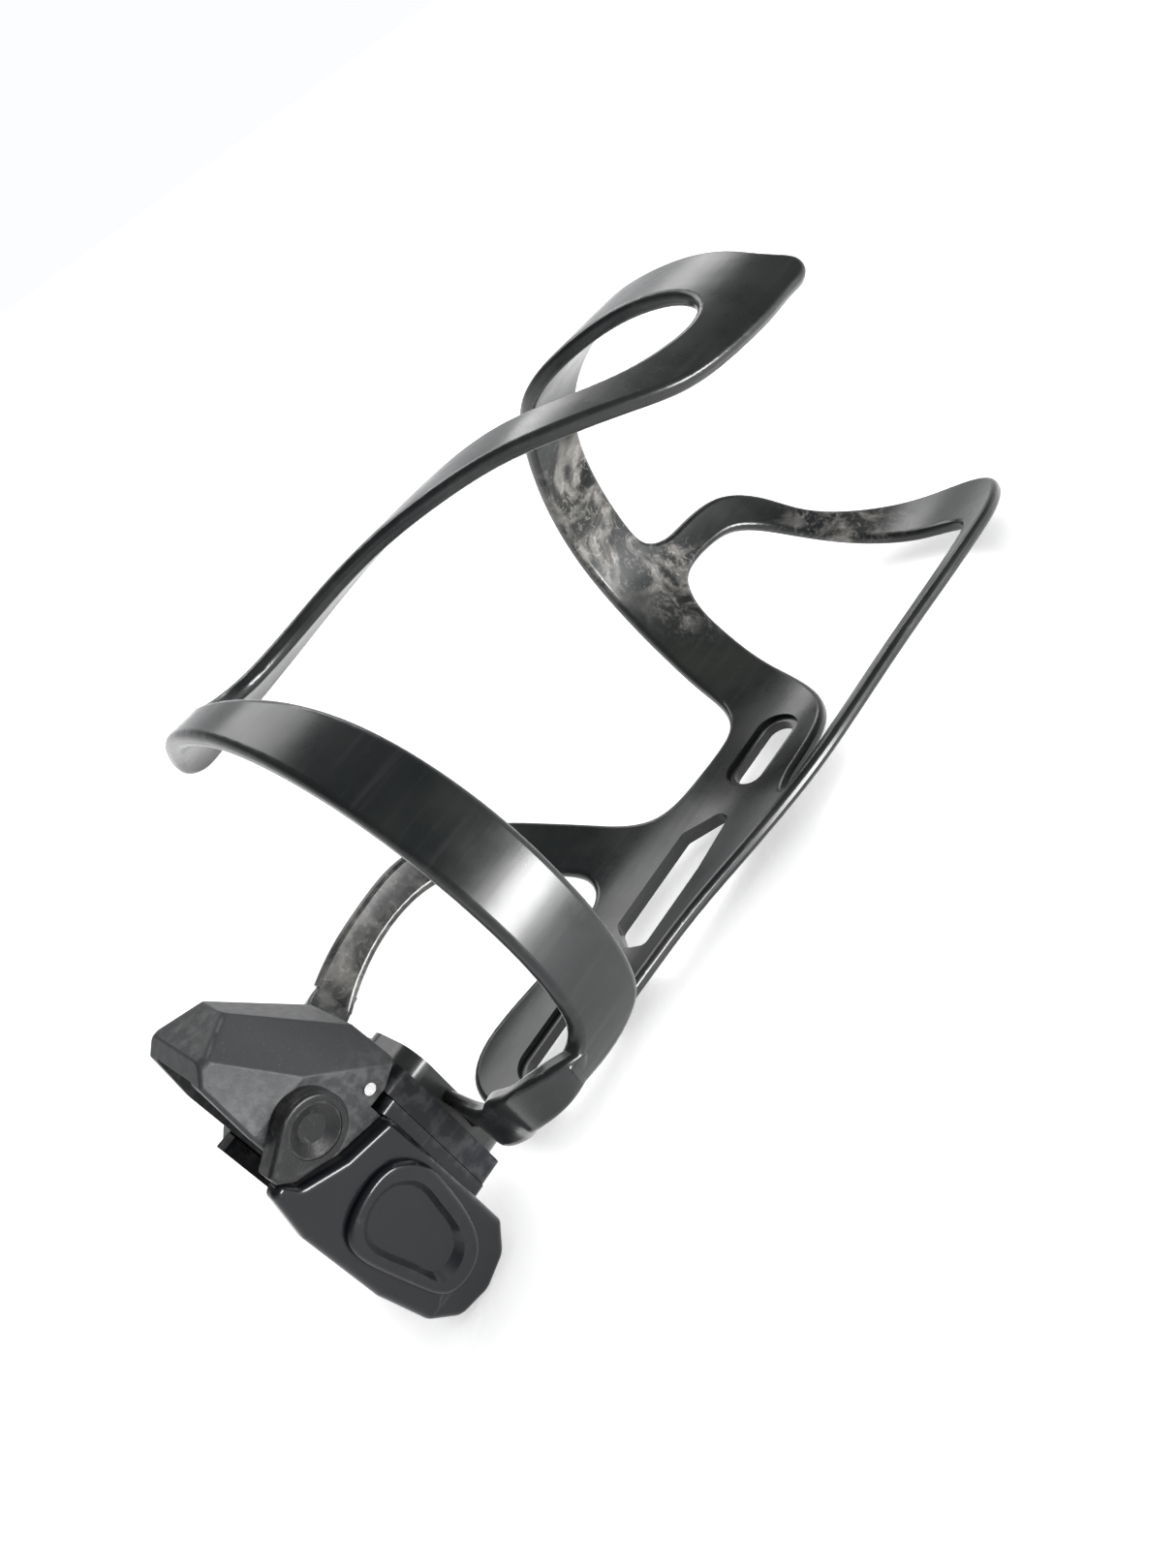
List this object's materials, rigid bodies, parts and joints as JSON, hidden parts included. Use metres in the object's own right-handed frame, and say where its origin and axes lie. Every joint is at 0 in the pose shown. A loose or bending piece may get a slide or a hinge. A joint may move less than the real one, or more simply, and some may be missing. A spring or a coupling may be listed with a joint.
{
  "type": "water bottle cage",
  "caption": "Side-entry bicycle bottle cage: a moulded band and wing grip the bottle, two slots bolt to the frame, and a holster under the shelf holds a folding multi-tool.",
  "frame": {"origin": "midway between the two mounting slots, on the flat back face that bolts to the bicycle frame", "axes": "+Z from the mounting face towards the bottle; +Y along the bottle towards its mouth; +X to the bottle's right, the side it is put in from"},
  "size_m": [0.0788, 0.1885, 0.0823],
  "materials": {
    "cage_composite": "satin black moulded composite",
    "holster_plastic": "semi-gloss black moulded plastic",
    "rail_plastic": "matte black moulded plastic",
    "tool_alloy": "fine blasted, anodised dark grey",
    "lug_alloy": "smooth anodised near-black",
    "key_steel": "brushed hardened steel",
    "pin_steel": "bright turned steel",
    "spring_steel": "thin sprung discs",
    "insert_brass": "knurled brass",
    "screw_black": "black oxide steel",
    "washer_steel": "thin spring-steel washers",
    "spacer_alloy": "plain turned aluminium"
  },
  "bodies": {
    "cage": {"cage_body": "cage_composite", "thread_inserts": "insert_brass", "rail_screws": "screw_black", "holster_rail": "rail_plastic", "holster_shell": "holster_plastic"},
    "tool": {"tool_body": "tool_alloy", "release_lug": "lug_alloy", "button_spring": "spring_steel", "cross_pin": "pin_steel", "rear_axle": "pin_steel", "front_axle": "pin_steel", "axle_washers": "washer_steel", "rear_spacer": "spacer_alloy", "front_spacers": "spacer_alloy"},
    "button": {"release_button": "lug_alloy"},
    "key_5": {"hex_key_5": "key_steel"},
    "key_4": {"hex_key_4": "key_steel"},
    "key_3": {"hex_key_3": "key_steel"},
    "key_2_5": {"hex_key_2_5": "key_steel"}
  },
  "joints": [
    {"name": "tool_slide", "type": "slide", "parent": "cage", "child": "tool", "axis": [0, 0, 1], "range_m": [0, 0.036]},
    {"name": "button_press", "type": "slide", "parent": "tool", "child": "button", "axis": [-1, 0, 0], "range_m": [0, 0.0006], "stiffness_N_per_m": 900, "springref_m": -0.0004, "deforming": ["button_spring"]},
    {"name": "key_5_hinge", "type": "hinge", "parent": "tool", "child": "key_5", "pos_m": [0, -0.0666, 0.0091], "axis": [1, 0, 0], "range_deg": [0, 100]},
    {"name": "key_4_hinge", "type": "hinge", "parent": "tool", "child": "key_4", "pos_m": [0, -0.0666, 0.0091], "axis": [1, 0, 0], "range_deg": [0, 100]},
    {"name": "key_3_hinge", "type": "hinge", "parent": "tool", "child": "key_3", "pos_m": [0, -0.0676, 0.0461], "axis": [-1, 0, 0], "range_deg": [0, 110]},
    {"name": "key_2_5_hinge", "type": "hinge", "parent": "tool", "child": "key_2_5", "pos_m": [0, -0.0676, 0.0461], "axis": [-1, 0, 0], "range_deg": [0, 110]}
  ]
}
